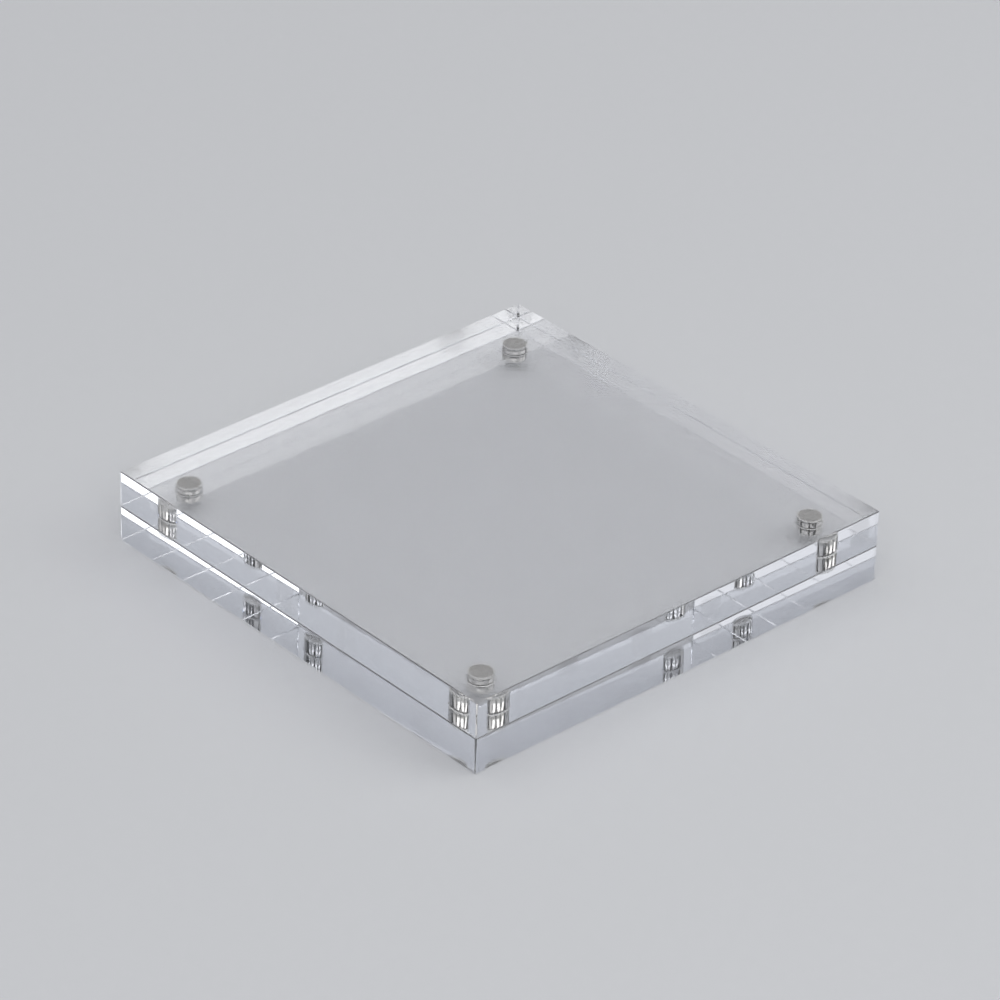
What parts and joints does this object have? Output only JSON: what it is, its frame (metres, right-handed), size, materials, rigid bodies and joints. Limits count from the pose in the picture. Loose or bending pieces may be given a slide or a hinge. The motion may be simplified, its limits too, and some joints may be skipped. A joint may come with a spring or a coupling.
{
  "type": "photo frame",
  "caption": "Square clear acrylic block photo frame: thick polished panels held face to face by plated disc magnets set near their corners, with room for a print between.",
  "frame": {"origin": "middle of the back panel's outer face, which the frame lies on", "axes": "+Z through the panels' thickness, from the back panel to the front panel; +X to the right and +Y to the top of a print, seen from the front"},
  "size_m": [0.1016, 0.1016, 0.0154],
  "materials": {
    "clear_acrylic": "polished",
    "nickel_plate": "satin",
    "cured_adhesive": "gloss"
  },
  "bodies": {
    "back_half": {"back_panel": "clear_acrylic", "back_magnet_top_left": "nickel_plate", "back_magnet_top_right": "nickel_plate", "back_magnet_bottom_left": "nickel_plate", "back_magnet_bottom_right": "nickel_plate", "back_adhesive_top_left": "cured_adhesive", "back_adhesive_top_right": "cured_adhesive", "back_adhesive_bottom_left": "cured_adhesive", "back_adhesive_bottom_right": "cured_adhesive"},
    "front_half": {"front_panel": "clear_acrylic", "front_magnet_top_left": "nickel_plate", "front_magnet_top_right": "nickel_plate", "front_magnet_bottom_left": "nickel_plate", "front_magnet_bottom_right": "nickel_plate", "front_adhesive_top_left": "cured_adhesive", "front_adhesive_top_right": "cured_adhesive", "front_adhesive_bottom_left": "cured_adhesive", "front_adhesive_bottom_right": "cured_adhesive"}
  },
  "joints": [
    {"name": "front_half_lift", "type": "slide", "parent": "back_half", "child": "front_half", "axis": [0, 0, 1], "range_m": [0, 0.06]}
  ]
}
